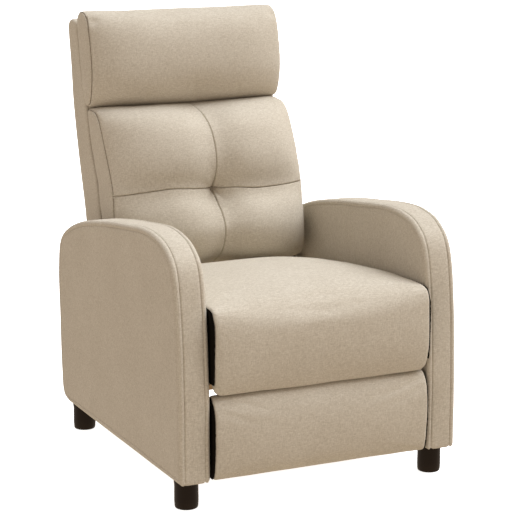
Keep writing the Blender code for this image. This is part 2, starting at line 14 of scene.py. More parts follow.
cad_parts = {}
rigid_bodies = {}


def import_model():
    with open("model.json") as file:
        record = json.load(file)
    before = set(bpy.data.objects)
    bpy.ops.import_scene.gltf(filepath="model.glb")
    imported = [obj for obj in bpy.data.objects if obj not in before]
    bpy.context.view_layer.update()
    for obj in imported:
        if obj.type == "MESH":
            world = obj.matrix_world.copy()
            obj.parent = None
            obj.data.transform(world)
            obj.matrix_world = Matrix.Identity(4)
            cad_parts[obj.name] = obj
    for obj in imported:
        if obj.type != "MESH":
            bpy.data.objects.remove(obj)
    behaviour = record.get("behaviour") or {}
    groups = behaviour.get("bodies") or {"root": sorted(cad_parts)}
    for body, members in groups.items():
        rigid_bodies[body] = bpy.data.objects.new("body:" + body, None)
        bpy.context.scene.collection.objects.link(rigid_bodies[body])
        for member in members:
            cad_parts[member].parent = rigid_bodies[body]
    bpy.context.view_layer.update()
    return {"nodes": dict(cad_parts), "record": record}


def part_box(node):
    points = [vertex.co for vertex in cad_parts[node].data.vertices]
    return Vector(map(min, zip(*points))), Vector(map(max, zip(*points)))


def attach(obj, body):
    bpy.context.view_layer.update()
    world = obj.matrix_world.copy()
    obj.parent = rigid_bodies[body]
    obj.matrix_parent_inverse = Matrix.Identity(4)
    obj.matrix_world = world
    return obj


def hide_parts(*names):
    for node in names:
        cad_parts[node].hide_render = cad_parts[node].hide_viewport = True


for startup_object in list(bpy.data.objects):
    bpy.data.objects.remove(startup_object)
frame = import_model()

# Driving dimensions, from the frame
ARM_LOW, ARM_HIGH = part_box("arm_cover_left")
ARM_FRONT_Y = ARM_LOW.y
ARM_THICKNESS = ARM_HIGH.x - ARM_LOW.x
ARM_MIDDLE_X = (ARM_HIGH.x + ARM_LOW.x) / 2
ARM_BOTTOM_Z = ARM_LOW.z
SEAT_HALF_WIDTH = 0.2600
FOOTREST_HALF_WIDTH = 0.2585
BACK_CUSHION_HALF_WIDTH = 0.2515
HEADREST_HALF_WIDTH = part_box("headrest")[1].x
BACK_PANEL_HALF_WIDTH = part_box("back_panel")[1].x

# Side outlines
ARM_OUTLINE = (
    (0.000, 0.0695), (0.000, 0.1700), (0.000, 0.2600), (0.008, 0.400), (0.030, 0.522),
    (0.075, 0.570), (0.135, 0.588), (0.211, 0.591), (0.334, 0.577), (0.459, 0.560),
    (0.587, 0.535), (0.690, 0.499), (0.742, 0.460), (0.757, 0.390), (0.757, 0.300),
    (0.752, 0.200), (0.748, 0.130), (0.744, 0.095), (0.733, 0.075), (0.712, 0.0672),
)
ARM_TOE = ((0.0024, 0.0672), (0.0007, 0.0679))
ARM_SPINE = ((0.25, 0.30), (0.50, 0.30))
SEAT_MIDDLE = (
    (-0.003, 0.2545), (-0.0170, 0.290), (-0.021, 0.350), (-0.020, 0.398), (-0.009, 0.432),
    (0.016, 0.452), (0.070, 0.462), (0.200, 0.465), (0.340, 0.453), (0.480, 0.430),
    (0.540, 0.414), (0.551, 0.380), (0.535, 0.347), (0.300, 0.346), (0.100, 0.346),
    (0.064, 0.338), (0.044, 0.312), (0.020, 0.274),
)
SEAT_SIDE = (
    (-0.003, 0.2555), (-0.0145, 0.292), (-0.018, 0.350), (-0.018, 0.398), (-0.013, 0.429),
    (0.006, 0.445), (0.070, 0.448), (0.200, 0.440), (0.340, 0.423), (0.480, 0.402),
    (0.535, 0.392), (0.545, 0.372), (0.530, 0.347), (0.300, 0.346), (0.100, 0.346),
    (0.064, 0.338), (0.044, 0.312), (0.020, 0.275),
)
FOOTREST_MIDDLE = (
    (-0.002, 0.0690), (-0.015, 0.105), (-0.020, 0.165), (-0.0155, 0.222), (0.001, 0.2520),
    (0.026, 0.2535), (0.0335, 0.220), (0.0335, 0.110), (0.026, 0.0720),
)
FOOTREST_SIDE = (
    (-0.002, 0.0700), (-0.012, 0.105), (-0.016, 0.165), (-0.012, 0.219), (0.006, 0.2490),
    (0.026, 0.2510), (0.0335, 0.220), (0.0335, 0.110), (0.026, 0.0730),
)
BACK_CUSHION_MIDDLE = (
    (0.604, 0.404), (0.570, 0.412), (0.530, 0.442), (0.507, 0.493), (0.519, 0.538),
    (0.545, 0.585), (0.552, 0.635), (0.564, 0.685), (0.594, 0.733), (0.640, 0.760),
    (0.700, 0.7705), (0.768, 0.772), (0.764, 0.735), (0.744, 0.675), (0.712, 0.604),
    (0.690, 0.525), (0.655, 0.440),
)
BACK_CUSHION_SIDE = (
    (0.615, 0.404), (0.596, 0.412), (0.592, 0.445), (0.597, 0.490), (0.601, 0.535),
    (0.607, 0.585), (0.627, 0.635), (0.653, 0.685), (0.682, 0.735), (0.700, 0.757),
    (0.728, 0.772), (0.771, 0.772), (0.768, 0.735), (0.748, 0.675), (0.716, 0.604),
    (0.694, 0.525), (0.658, 0.440),
)
HEADREST_MIDDLE = (
    (0.757, 0.7765), (0.726, 0.7825), (0.694, 0.804), (0.680, 0.850), (0.688, 0.910),
    (0.706, 0.958), (0.738, 0.989), (0.780, 0.999), (0.815, 0.994), (0.828, 0.966),
    (0.815, 0.900), (0.801, 0.845), (0.785, 0.7765),
)
HEADREST_SIDE = (
    (0.757, 0.776), (0.748, 0.784), (0.737, 0.813), (0.731, 0.857), (0.737, 0.905),
    (0.748, 0.950), (0.763, 0.986), (0.788, 1.003), (0.820, 1.001), (0.835, 0.972),
    (0.822, 0.900), (0.809, 0.845), (0.787, 0.776),
)
BACK_FRONT_LINE = (
    (0.662, 0.360), (0.674, 0.430), (0.692, 0.525), (0.714, 0.604), (0.747, 0.673),
    (0.772, 0.759), (0.806, 0.860), (0.828, 0.950), (0.834, 0.970), (0.846, 0.977),
)
BACK_REAR_LINE = (
    (0.766, 0.350), (0.774, 0.420), (0.790, 0.510), (0.819, 0.605), (0.845, 0.690),
    (0.866, 0.790), (0.878, 0.875), (0.888, 0.945), (0.886, 0.966), (0.872, 0.977),
)
TUFT = (0.578, 0.588)
# (X, rise) of the back cushion's cross seam, which isn't quite straight
SEAM_BEND = (
    (-0.2515, -0.0065), (-0.200, 0.0015), (-0.150, 0.0085), (-0.110, 0.0115), (-0.050, 0.0065),
    (0.000, 0.000), (0.050, 0.0030), (0.110, -0.0020), (0.2515, -0.0040),
)

# Upholstery work
VOXEL = 0.005
CLOTH_FRAMES = 20
SEAM_CUTS = (-0.0048, -0.0026, -0.0012, 0, 0.0012, 0.0026, 0.0048)
TUFT_CUTS = (-0.013, -0.009, 0.009, 0.013)
CORNER_CUTS = (0.0008, 0.0020, 0.0034, 0.0055)
SEAM_DEPTH, SEAM_WIDTH = 0.0040, 0.0014
CORNER_SEAM_DEPTH, CORNER_SEAM_WIDTH = 0.0034, 0.0026
CORNER_INSET = 0.0018
THREAD_RADIUS = 0.0006
THREAD_SIDES = 6
WEAVE_PITCH = 0.0013
IMAGE_SIZE = 515


# Curves and meshes

def place(x, point):
    """World point from an X and a (d, z) pair."""
    return Vector((x, ARM_FRONT_Y + point[0], point[1]))


def spline(points, steps, closed=False):
    """Catmull-Rom curve through 2D points, `steps` stretches between each two."""
    count = len(points)
    result = []
    for i in range(count if closed else count - 1):
        p = []
        for k in (i - 1, i, i + 1, i + 2):
            p.append(Vector(points[k % count] if closed else points[min(max(k, 0), count - 1)]))
        for step in range(steps):
            t = step / steps
            result.append(0.5 * (2 * p[1] + (p[2] - p[0]) * t
                                 + (2 * p[0] - 5 * p[1] + 4 * p[2] - p[3]) * t * t
                                 + (3 * p[1] - p[0] - 3 * p[2] + p[3]) * t ** 3))
    if not closed:
        result.append(Vector(points[-1]))
    return result


def evenly(points, pitch, closed=False):
    """The same line with its points about one pitch apart."""
    line = [Vector(p) for p in points] + ([Vector(points[0])] if closed else [])
    lengths = [0.0]
    for a, b in zip(line, line[1:]):
        lengths.append(lengths[-1] + (b - a).length)
    count = max(2, round(lengths[-1] / pitch))
    result, k = [], 0
    for i in range(count if closed else count + 1):
        at = lengths[-1] * i / count
        while k < len(lengths) - 2 and lengths[k + 1] < at:
            k += 1
        span = lengths[k + 1] - lengths[k]
        result.append(line[k].lerp(line[k + 1], (at - lengths[k]) / span if span else 0))
    return result


def inward(points):
    """Unit vectors at a closed outline's points, square to it and into it."""
    count = len(points)
    area = sum(points[i - 1].x * points[i].y - points[i].x * points[i - 1].y for i in range(count))
    sign = 1 if area > 0 else -1
    result = []
    for i in range(count):
        along = (points[(i + 1) % count] - points[i - 1]).normalized()
        result.append(Vector((-along.y, along.x)) * sign)
    return result


def nearest_on(line, point):
    """Nearest point of an open 2D line."""
    best = None
    for a, b in zip(line, line[1:]):
        a, b = Vector(a), Vector(b)
        t = min(1, max(0, (point - a).dot(b - a) / (b - a).length_squared))
        found = a.lerp(b, t)
        if best is None or (found - point).length < (best - point).length:
            best = found
    return best


def new_object(name, bm, smooth=True):
    bmesh.ops.recalc_face_normals(bm, faces=bm.faces)
    mesh = bpy.data.meshes.new(name)
    bm.to_mesh(mesh)
    bm.free()
    if smooth:
        mesh.shade_smooth()
    obj = bpy.data.objects.new(name, mesh)
    bpy.context.scene.collection.objects.link(obj)
    return obj


def add_skin(bm, loops):
    """Adds a closed body through loops of world points of equal length."""
    rings = [[bm.verts.new(point) for point in loop] for loop in loops]
    for first, second in zip(rings, rings[1:]):
        for i in range(len(first)):
            bm.faces.new((first[i - 1], first[i], second[i], second[i - 1]))
    bm.faces.new(rings[0])
    bm.faces.new(rings[-1])


def skin(name, loops):
    bm = bmesh.new()
    add_skin(bm, loops)
    return new_object(name, bm)


def coordinates(mesh):
    """Vertex positions as an array of one row each."""
    co = np.empty(len(mesh.vertices) * 3, np.float32)
    mesh.vertices.foreach_get("co", co)
    return co.reshape(-1, 3).astype(float)


def set_coordinates(mesh, co):
    mesh.vertices.foreach_set("co", co.astype(np.float32).ravel())
    mesh.update()


def normals_of(mesh):
    directions = np.empty(len(mesh.vertices) * 3, np.float32)
    mesh.vertices.foreach_get("normal", directions)
    return directions.reshape(-1, 3).astype(float)


def apply_modifiers(obj):
    graph = bpy.context.evaluated_depsgraph_get()
    mesh = bpy.data.meshes.new_from_object(obj.evaluated_get(graph))
    obj.modifiers.clear()
    obj.data = mesh
    mesh.shade_smooth()


def subdivide(obj):
    modifier = obj.modifiers.new("Subdivision", "SUBSURF")
    modifier.levels = modifier.render_levels = 1
    apply_modifiers(obj)


def push(obj, amount):
    """Moves each vertex along its normal. amount gives metres from coordinates and normals."""
    co, directions = coordinates(obj.data), normals_of(obj.data)
    set_coordinates(obj.data, co + directions * amount(co, directions)[:, None])


def raise_points(obj, amount):
    """Moves each vertex along Z. amount gives metres from coordinates."""
    co = coordinates(obj.data)
    co[:, 2] += amount(co)
    set_coordinates(obj.data, co)


def noise_at(co, size, seed):
    """Smooth noise from -1 to 1 at each point, with lumps of about this size."""
    return np.array([noise.noise(Vector(p) / size + Vector((seed, seed, seed))) for p in co])


def bump(distance, width):
    """1 on a line, falling to 0 a few widths away from it."""
    return np.exp(-(distance / width) ** 2)


def cut_plane(obj, point, direction):
    """Adds edges where a plane crosses a mesh, so that a seam there can be sharp."""
    bm = bmesh.new()
    bm.from_mesh(obj.data)
    geometry = list(bm.verts) + list(bm.edges) + list(bm.faces)
    bmesh.ops.bisect_plane(bm, geom=geometry, dist=1e-5, plane_co=point, plane_no=direction)
    bm.to_mesh(obj.data)
    bm.free()
    obj.data.shade_smooth()


# Padded pieces

def pad_body(name, middle, side, half_width, corner, crown_power):
    """A closed pad, full at X = 0, going to its side outline, with flat ends and small corners.

    A higher crown power keeps it full for longer before it drops towards the sides.
    """
    middle, side = spline(middle, 4, closed=True), spline(side, 4, closed=True)
    flat = half_width - corner
    xs = [flat * i / 24 for i in range(-24, 25)]
    turns = [math.pi / 8 * i for i in range(1, 5)]
    high = [(flat + corner * math.sin(turn), corner * (1 - math.cos(turn))) for turn in turns]
    sections = [(-x, inset) for x, inset in reversed(high)] + [(x, 0.0) for x in xs] + high
    loops = []
    for x, inset in sections:
        full = 1 - min(1, abs(x) / half_width) ** crown_power
        outline = [s.lerp(m, full) for m, s in zip(middle, side)]
        into = inward(outline)
        loops.append([place(x, p + n * inset) for p, n in zip(outline, into)])
    return skin(name, loops)


def corner_lines(side, half_width):
    """The edges between a pad's face and its two ends, as dense world points."""
    outline = evenly(spline(side, 6, closed=True), 0.0015, closed=True)
    line = [p + n * CORNER_INSET for p, n in zip(outline, inward(outline))]
    return [place(sign * (half_width - CORNER_INSET), p) for sign in (-1, 1) for p in line]


def distance_to(points):
    """A function that gives each coordinate's distance from the nearest of these points."""
    tree = kdtree.KDTree(len(points))
    for index, point in enumerate(points):
        tree.insert(point, index)
    tree.balance()
    return lambda co: np.array([tree.find(p)[2] for p in co])


def inflate(pad, hold, cap, pressure=4.0):
    """Remeshes a pad, then lets Blender's cloth swell it with air pressure, and keeps the result.

    hold takes coordinates and normals, and gives each point's pinning from 0 to 1. No point moves
    further than the cap.
    """
    remesh(pad)
    swell(pad, hold, cap, pressure)
    subdivide(pad)
    return pad


def remesh(pad):
    modifier = pad.modifiers.new("Remesh", "REMESH")
    modifier.mode = "VOXEL"
    modifier.voxel_size = VOXEL
    apply_modifiers(pad)


def swell(pad, hold, cap, pressure):
    scene = bpy.context.scene
    start = coordinates(pad.data)
    group = pad.vertex_groups.new(name="held")
    for index, held in enumerate(hold(start, normals_of(pad.data))):
        if held > 0.01:
            group.add([index], float(held), "REPLACE")
    cloth = pad.modifiers.new("Cloth", "CLOTH")
    settings = cloth.settings
    settings.use_pressure = True
    settings.uniform_pressure_force = pressure
    settings.vertex_group_mass = group.name
    settings.effector_weights.gravity = 0
    for number in range(1, CLOTH_FRAMES + 1):
        scene.frame_set(number)
    graph = bpy.context.evaluated_depsgraph_get()
    moved = coordinates(pad.evaluated_get(graph).data) - start
    pad.modifiers.clear()
    pad.vertex_groups.clear()
    length = np.linalg.norm(moved, axis=1)
    moved *= np.minimum(1, cap / np.maximum(length, 1e-9))[:, None]
    set_coordinates(pad.data, start + moved)
    scene.frame_set(1)


def cut_square(pad, axis, at):
    """Adds edges where the plane square to an axis crosses a mesh."""
    point, direction = [0, 0, 0], [0, 0, 0]
    point[axis], direction[axis] = at, 1
    cut_plane(pad, point, direction)


def sew_seam(pad, axis, at, mask):
    """A sewn seam in the plane square to an axis, as a narrow crease with soft lips.

    mask takes coordinates and normals, and gives 1 where the seam runs and 0 elsewhere.
    """
    for offset in SEAM_CUTS:
        cut_square(pad, axis, at + offset)
    push(pad, lambda co, n: -SEAM_DEPTH * bump(co[:, axis] - at, SEAM_WIDTH) * mask(co, n))


def corner_seams(pad, side, half_width):
    """Sewn seams where the face meets the ends, with small irregular gathers beside them."""
    for sign in (-1, 1):
        for offset in CORNER_CUTS:
            cut_square(pad, 0, sign * (half_width - offset))
    away = distance_to(corner_lines(side, half_width))(coordinates(pad.data))

    def crease(co, _):
        narrow = CORNER_SEAM_DEPTH * bump(away, CORNER_SEAM_WIDTH)
        return -narrow - 0.0032 * np.exp(-away / 0.013)

    push(pad, crease)

    def gathers(co, _):
        along = np.stack([np.sign(co[:, 0]), 22 * co[:, 1], 22 * co[:, 2]], axis=1)
        folds = np.clip(2.4 * noise_at(along, 1.0, 4.2) - 0.35, 0, 1)
        return -0.0020 * folds * np.exp(-away / 0.012) * np.clip(away / 0.004, 0, 1)

    push(pad, gathers)


def thread_with_seam_shade(name, pad, lines):
    """Sewing thread laid in a pad's seams, coloured dark so that it also paints the seam crease's
    shade. Each line lists points with the way out of the pad.
    """
    mesh = pad.data
    tree = bvhtree.BVHTree.FromPolygons(
        [v.co for v in mesh.vertices], [tuple(f.vertices) for f in mesh.polygons])
    bm = bmesh.new()
    for line in lines:
        path = []
        for point, out in line:
            hit = tree.ray_cast(point + 0.03 * out, -out, 0.09)[0]
            if hit is not None:
                path.append((hit - 0.0002 * out, out))
        loops = []
        for i, (at, up) in enumerate(path):
            after, before = path[min(i + 1, len(path) - 1)][0], path[max(i - 1, 0)][0]
            side = (after - before).cross(up).normalized()
            turns = [2 * math.pi * k / THREAD_SIDES for k in range(THREAD_SIDES)]
            loops.append([at + THREAD_RADIUS * (side * math.cos(t) + up * math.sin(t))
                          for t in turns])
        add_skin(bm, loops)
    return new_object(name, bm)


def outline_path(x, outline, out_x=0.0, inset=0.0):
    """Points of an open side outline at one X, each with the way out of the pad."""
    path = evenly(spline(outline, 8), 0.003)
    into = inward(path)
    return [(place(x, p + n * inset), Vector((out_x, -n.x, -n.y)).normalized())
            for p, n in zip(path, into)][1:-1]


def corner_paths(outline, half_width):
    return [outline_path(sign * (half_width - CORNER_INSET), outline, sign, CORNER_INSET)
            for sign in (-1, 1)]


def ripple(pad, size, height, seed):
    """Gentle unevenness of hand-made upholstery."""
    push(pad, lambda co, _: height * noise_at(co, size, seed))


def make_seat_cushion():
    """A crowned seat that rolls over the front, with its two lower front corners rounded."""
    pad = pad_body("seat_pad", SEAT_MIDDLE, SEAT_SIDE, SEAT_HALF_WIDTH, 0.006, crown_power=3.5)
    corner_width, corner_height = 0.017, 0.030

    def corner_lift(co):
        turn = np.clip((np.abs(co[:, 0]) - SEAT_HALF_WIDTH) / corner_width + 1, 0, 1)
        lift = corner_height * (1 - np.sqrt(1 - turn ** 2))
        return lift * np.clip((0.32 - co[:, 2]) / 0.055, 0, 1)

    raise_points(pad, corner_lift)

    def hold(co, directions):
        under = (directions[:, 2] < -0.5) | (directions[:, 1] > 0.5)
        return np.maximum(under, np.abs(co[:, 0]) > SEAT_HALF_WIDTH - 0.004)

    inflate(pad, hold, pressure=3.0, cap=0.004)
    ripple(pad, 0.09, 0.0012, seed=3.1)
    return pad


def make_footrest_pad():
    """A shallow pad, held at its back and its two ends."""
    pad = pad_body("footrest_cushion", FOOTREST_MIDDLE, FOOTREST_SIDE, FOOTREST_HALF_WIDTH,
                   0.005, crown_power=4)

    def hold(co, directions):
        behind = directions[:, 1] > 0.4
        return np.maximum(behind, np.abs(co[:, 0]) > FOOTREST_HALF_WIDTH - 0.004)

    inflate(pad, hold, pressure=3.0, cap=0.005)
    ripple(pad, 0.09, 0.0010, seed=8.7)
    return pad


def hold_gussets(half):
    """A hold for inflate: the back of the pad, and the seams between its face and its two ends."""
    def hold(co, directions):
        behind = directions[:, 1] > 0.35
        gusset = bump(np.abs(co[:, 0]) - (half - 0.001), 0.004)
        gusset *= np.where(np.abs(directions[:, 0]) < 0.9, 1, 0.7)
        return np.maximum(behind, gusset)

    return hold


def seam_rise(xs):
    """How far the back cushion's cross seam lies above the tuft at each X."""
    line = spline(SEAM_BEND, 6)
    return np.interp(xs, [p.x for p in line], [p.y for p in line])


def make_back_cushion():
    """Four pillows between a gusset each side, pulled in where the two cross seams meet."""
    half = BACK_CUSHION_HALF_WIDTH
    pad = pad_body("back_pillow", BACK_CUSHION_MIDDLE, BACK_CUSHION_SIDE, half, 0.006, 3.0)
    seam_z = TUFT[1]
    hold_edges = hold_gussets(half)

    def front(directions):
        return np.clip(-directions[:, 1] * 2.5, 0, 1)

    def pull(co, directions):
        across = 1 - np.exp(-(co[:, 0] / 0.050) ** 2)
        along = 1 - np.exp(-((co[:, 2] - seam_z) / 0.040) ** 2)
        edge = 1 - np.exp(-np.clip(half - np.abs(co[:, 0]), 0, 1) / 0.035)
        valley = 0.004 + 0.019 * bump(np.hypot(co[:, 0], co[:, 2] - seam_z), 0.048)
        return front(directions) * (0.016 * across * along * edge - valley * edge)

    def hold(co, directions):
        cross = front(directions) * np.maximum(
            bump(co[:, 0], 0.005), bump(co[:, 2] - seam_z, 0.005))
        return np.maximum(hold_edges(co, directions), cross)

    remesh(pad)
    push(pad, pull)
    inflate(pad, hold, cap=0.010)

    def tuft(co, directions):
        apart = np.hypot(co[:, 0], co[:, 2] - seam_z)
        turn = np.arctan2(co[:, 2] - seam_z, co[:, 0])
        folds = 0.0022 * np.cos(5 * turn + 0.8) * np.exp(-apart / 0.030)
        folds *= np.clip(apart / 0.012, 0, 1)
        return front(directions) * (folds - 0.023 * np.exp(-apart / 0.017)
                                    - 0.012 * np.exp(-apart / 0.005))

    def between_gussets(co, directions):
        return front(directions) * np.clip((half - 0.002 - np.abs(co[:, 0])) / 0.002, 0, 1)

    def bend(co):
        before_panel = np.clip((ARM_FRONT_Y + 0.665 - co[:, 1]) / 0.035, 0, 1)
        return seam_rise(co[:, 0]) * before_panel * bump(co[:, 2] - seam_z, 0.060)

    for offset in TUFT_CUTS:
        cut_square(pad, 0, offset)
        cut_square(pad, 2, seam_z + offset)
    push(pad, tuft)
    sew_seam(pad, 0, 0.0, lambda _, n: front(n))
    sew_seam(pad, 2, seam_z, between_gussets)
    corner_seams(pad, BACK_CUSHION_SIDE, half)
    ripple(pad, 0.08, 0.0012, seed=1.7)
    raise_points(pad, bend)

    upright = outline_path(0, BACK_CUSHION_MIDDLE[1:11])
    xs = [(half - 0.003) * i / 80 for i in range(-80, 81)]
    heights = seam_z + seam_rise(xs)
    across = [(place(x, (TUFT[0] - 0.02, z)), Vector((0, -1, 0))) for x, z in zip(xs, heights)]
    lines = [upright, across] + corner_paths(BACK_CUSHION_SIDE[1:12], half)
    finish_thread_with_seam_shade("back_pillow_thread_and_seam_shade", pad, lines)
    return pad


# The seam thread's dark material is partly the thread's colour and partly painted shade along the
# seam creases.
def finish_thread_with_seam_shade(name, pad, lines):
    seam = thread_with_seam_shade(name, pad, lines)
    seam.data.materials.append(bpy.data.materials["seam_thread_and_painted_shade"])
    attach(seam, "back")


def make_headrest():
    """One pillow with a gusset each side, dimpled at its top corners and lower at the left one."""
    half = HEADREST_HALF_WIDTH
    pad = pad_body("headrest_pillow", HEADREST_MIDDLE, HEADREST_SIDE, half, 0.006, crown_power=4)

    def sag(co):
        outwards = np.clip((co[:, 0] - 0.10) / 0.15, 0, 1) ** 2
        return -0.005 * outwards * np.clip((co[:, 2] - 0.90) / 0.09, 0, 1)

    inflate(pad, hold_gussets(half), cap=0.008)
    corner_seams(pad, HEADREST_SIDE, half)
    raise_points(pad, sag)
    ears = [place(sign * (half - 0.016), (0.752, 0.984)) for sign in (-1, 1)]
    near = distance_to(ears)(coordinates(pad.data))
    push(pad, lambda co, _: -0.005 * bump(near, 0.013))
    ripple(pad, 0.10, 0.0016, seed=5.3)
    finish_thread_with_seam_shade("headrest_pillow_thread_and_seam_shade", pad, corner_paths(HEADREST_SIDE[:9], half))
    return pad


def make_side_cloth(name, outline, x, body, inset, lowest, shoulder):
    """Thin black cloth stapled over the end of a pad, between a lowest Z and a sloping shoulder.

    x is the pair of planes that it lies between. The shoulder is the height of the slope at the
    arms' front face.
    """
    outer = evenly(spline(outline, 5, closed=True), 0.003, closed=True)
    into = inward(outer)
    rough = [0.0016 * noise.noise(Vector((150 * p.x, 150 * p.y, 0))) for p in outer]
    edge = [p + n * (inset + r) for p, n, r in zip(outer, into, rough)]
    slope = 1.9
    edge = [Vector((p.x, max(min(p.y, shoulder + slope * p.x), lowest))) for p in edge]
    cloth = skin(name, [[place(sx, p) for p in edge] for sx in x])
    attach(cloth, body)
    return cloth


# Tight upholstery over frames

def cover_slab(name, outline, profile, spine, x_middle, panel_crown, seam_from):
    """A cover over a slab across X: an edge strip all round it and a panel on each side.

    profile lists (distance from the middle X, inset, seam depth), from the strip's middle out to
    the panel's edge. The panels close on a spine line, with a slight crown.
    """
    into = inward(outline)
    panel_x = profile[-1][0]
    panel_rings = 12
    square_part = 0.0015

    def moved(p, n, inset):
        """Square to the outline at first, then towards the spine, so that corners don't fold."""
        towards = (nearest_on(spine, p) - p).normalized()
        return p + n * min(inset, square_part) + towards * 1.25 * max(0, inset - square_part)

    sides = {}
    for sign in (-1, 1):
        loops = []
        for x, inset, seam in profile:
            loops.append([
                place(x_middle + sign * x, moved(p, n, inset + seam * seam_from(p)))
                for p, n in zip(outline, into)])
        edge = [moved(p, n, profile[-1][1]) for p, n in zip(outline, into)]
        centres = [nearest_on(spine, p) for p in edge]
        for k in range(1, panel_rings + 1):
            part = 1 - (1 - k / panel_rings) ** 1.6
            rise = panel_crown * math.sin(math.pi / 2 * part)
            loops.append([place(x_middle + sign * (panel_x + rise), p.lerp(c, 0.98 * part))
                          for p, c in zip(edge, centres)])
        sides[sign] = loops
    loops = list(reversed(sides[-1])) + sides[1][1:]
    return skin(name, loops)


def make_arm_cover(name, sign):
    """An arm's sleeve: a strip over the top with a seam each side, and a panel inside and out."""
    outline = evenly(spline(ARM_OUTLINE, 6), 0.006)
    toe = [Vector(p) for p in ARM_TOE]
    bottom = evenly([outline[-1], toe[0]], 0.012)[1:-1]
    half = ARM_THICKNESS / 2 + 0.0012
    profile = (
        (0.0, 0.0, 0.0), (0.010, 0.0001, 0.0), (0.018, 0.0004, 0.0), (0.0215, 0.0007, 0.0),
        (0.0228, 0.0011, 0.0004), (0.0238, 0.0014, 0.0020), (0.0248, 0.0011, 0.0004),
        (0.0262, 0.0005, 0.0), (0.0285, 0.0003, 0.0), (0.0308, 0.0008, 0.0), (0.0326, 0.0019, 0.0),
        (0.0340, 0.0032, 0.0), (half - 0.0001, 0.0050, 0.0), (half - 0.0001, 0.0078, 0.0),
        (half - 0.0009, 0.0096, 0.0), (half - 0.0024, 0.0104, 0.0), (half - 0.0009, 0.0112, 0.0),
        (half - 0.0004, 0.0130, 0.0), (half - 0.0003, 0.0180, 0.0),
    )

    def seam_from(p):
        return min(1, max(0, (p.y - ARM_BOTTOM_Z - 0.003) / 0.01))

    arm = cover_slab(f"arm_upholstery_{name}", outline + bottom + toe, profile, ARM_SPINE,
                     sign * ARM_MIDDLE_X, 0.0008, seam_from)
    ripple(arm, 0.11, 0.0009, seed=2.0 + sign)
    hem = coordinates(arm.data)
    hem[hem[:, 2] < ARM_BOTTOM_Z + 0.0015, 2] = ARM_BOTTOM_Z - 0.0010
    set_coordinates(arm.data, hem)
    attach(arm, "base")
    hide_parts(f"arm_cover_{name}")
    return arm


def make_back_panel():
    """The thin padded panel behind the cushions, with a seam near each side."""
    front = spline(BACK_FRONT_LINE, 4)
    rear = spline(BACK_REAR_LINE, 4)
    outline = evenly(front + rear[::-1], 0.006, closed=True)
    spine = [(0.5 * (a[0] + b[0]), 0.5 * (a[1] + b[1]))
             for a, b in zip(BACK_FRONT_LINE, BACK_REAR_LINE)]
    spine = spine[:-2]
    spine[0] = (spine[0][0] + 0.006, spine[0][1] + 0.04)
    half = BACK_PANEL_HALF_WIDTH
    profile = [(half * k / 12 * 0.93, 0.0, 0.0) for k in range(13)]
    profile += [
        (half - 0.0110, 0.0002, 0.0), (half - 0.0098, 0.0004, 0.0012), (half - 0.0086, 0.0004, 0.0),
        (half - 0.0050, 0.0008, 0.0), (half - 0.0025, 0.0018, 0.0), (half - 0.0010, 0.0034, 0.0),
        (half - 0.0003, 0.0056, 0.0), (half - 0.0001, 0.0085, 0.0),
    ]
    panel = cover_slab("back_upholstery", outline, profile, spine, 0.0, 0.0002, lambda p: 1.0)

    def crown(co, directions):
        full = 1 - np.clip(np.abs(co[:, 0]) / half, 0, 1) ** 3
        return 0.006 * full * np.clip(directions[:, 1], 0, 1)

    push(panel, crown)
    ripple(panel, 0.12, 0.0010, seed=6.4)
    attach(panel, "back")
    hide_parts("back_panel")
    return panel


def make_foot(end, name):
    """A turned foot with rounded edges, a little narrower at the floor."""
    low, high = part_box(f"foot_{end}_{name}")
    x, y = (low.x + high.x) / 2, (low.y + high.y) / 2
    wide = (high.x - low.x) / 2 + 0.0025
    narrow = wide - 0.0015
    profile = (
        (narrow - 0.0045, 0.0), (narrow - 0.0020, 0.0004), (narrow - 0.0006, 0.0018),
        (narrow, 0.0040), (narrow + 0.0008, 0.0160), (wide - 0.0010, high.z - 0.0160),
        (wide, high.z - 0.0080), (wide, high.z - 0.0030), (wide - 0.0008, high.z - 0.0010),
        (wide - 0.0030, high.z - 0.0002),
    )
    turns = [2 * math.pi * i / 48 for i in range(48)]
    foot = skin(f"turned_foot_{end}_{name}", [
        [(x + radius * math.cos(turn), y + radius * math.sin(turn), z) for turn in turns]
        for radius, z in profile])
    foot.data.set_sharp_from_angle(angle=math.radians(50))
    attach(foot, "base")
    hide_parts(f"foot_{end}_{name}")
    return foot


# Materials

def new_material(name, colour, roughness, metallic=0.0):
    made = bpy.data.materials.new(name)
    made.use_nodes = True
    shader = made.node_tree.nodes["Principled BSDF"]
    shader.inputs["Base Color"].default_value = (*colour, 1)
    shader.inputs["Roughness"].default_value = roughness
    shader.inputs["Metallic"].default_value = metallic
    return made, made.node_tree, shader


def node(tree, kind, **values):
    """A new node. Values named by a socket go to that input, and the rest are its settings."""
    made = tree.nodes.new(kind)
    for key, value in values.items():
        if key in made.inputs:
            if isinstance(value, bpy.types.NodeSocket):
                tree.links.new(value, made.inputs[key])
            else:
                made.inputs[key].default_value = value
        else:
            setattr(made, key, value)
    return made


def operation_node(tree, kind, operation, values):
    made = tree.nodes.new(kind)
    made.operation = operation
    for socket, value in zip(made.inputs, values):
        if isinstance(value, bpy.types.NodeSocket):
            tree.links.new(value, socket)
        else:
            socket.default_value = value
    return made.outputs


def math_node(tree, operation, *values):
    return operation_node(tree, "ShaderNodeMath", operation, values)["Value"]


def vector_node(tree, operation, *values):
    outputs = operation_node(tree, "ShaderNodeVectorMath", operation, values)
    return outputs["Value" if operation == "DOT_PRODUCT" else "Vector"]


def noise_node(tree, vector, scale, detail=2.0, roughness=0.5):
    made = node(tree, "ShaderNodeTexNoise", Vector=vector, Scale=scale, Detail=detail,
                Roughness=roughness)
    return made.outputs["Fac"]


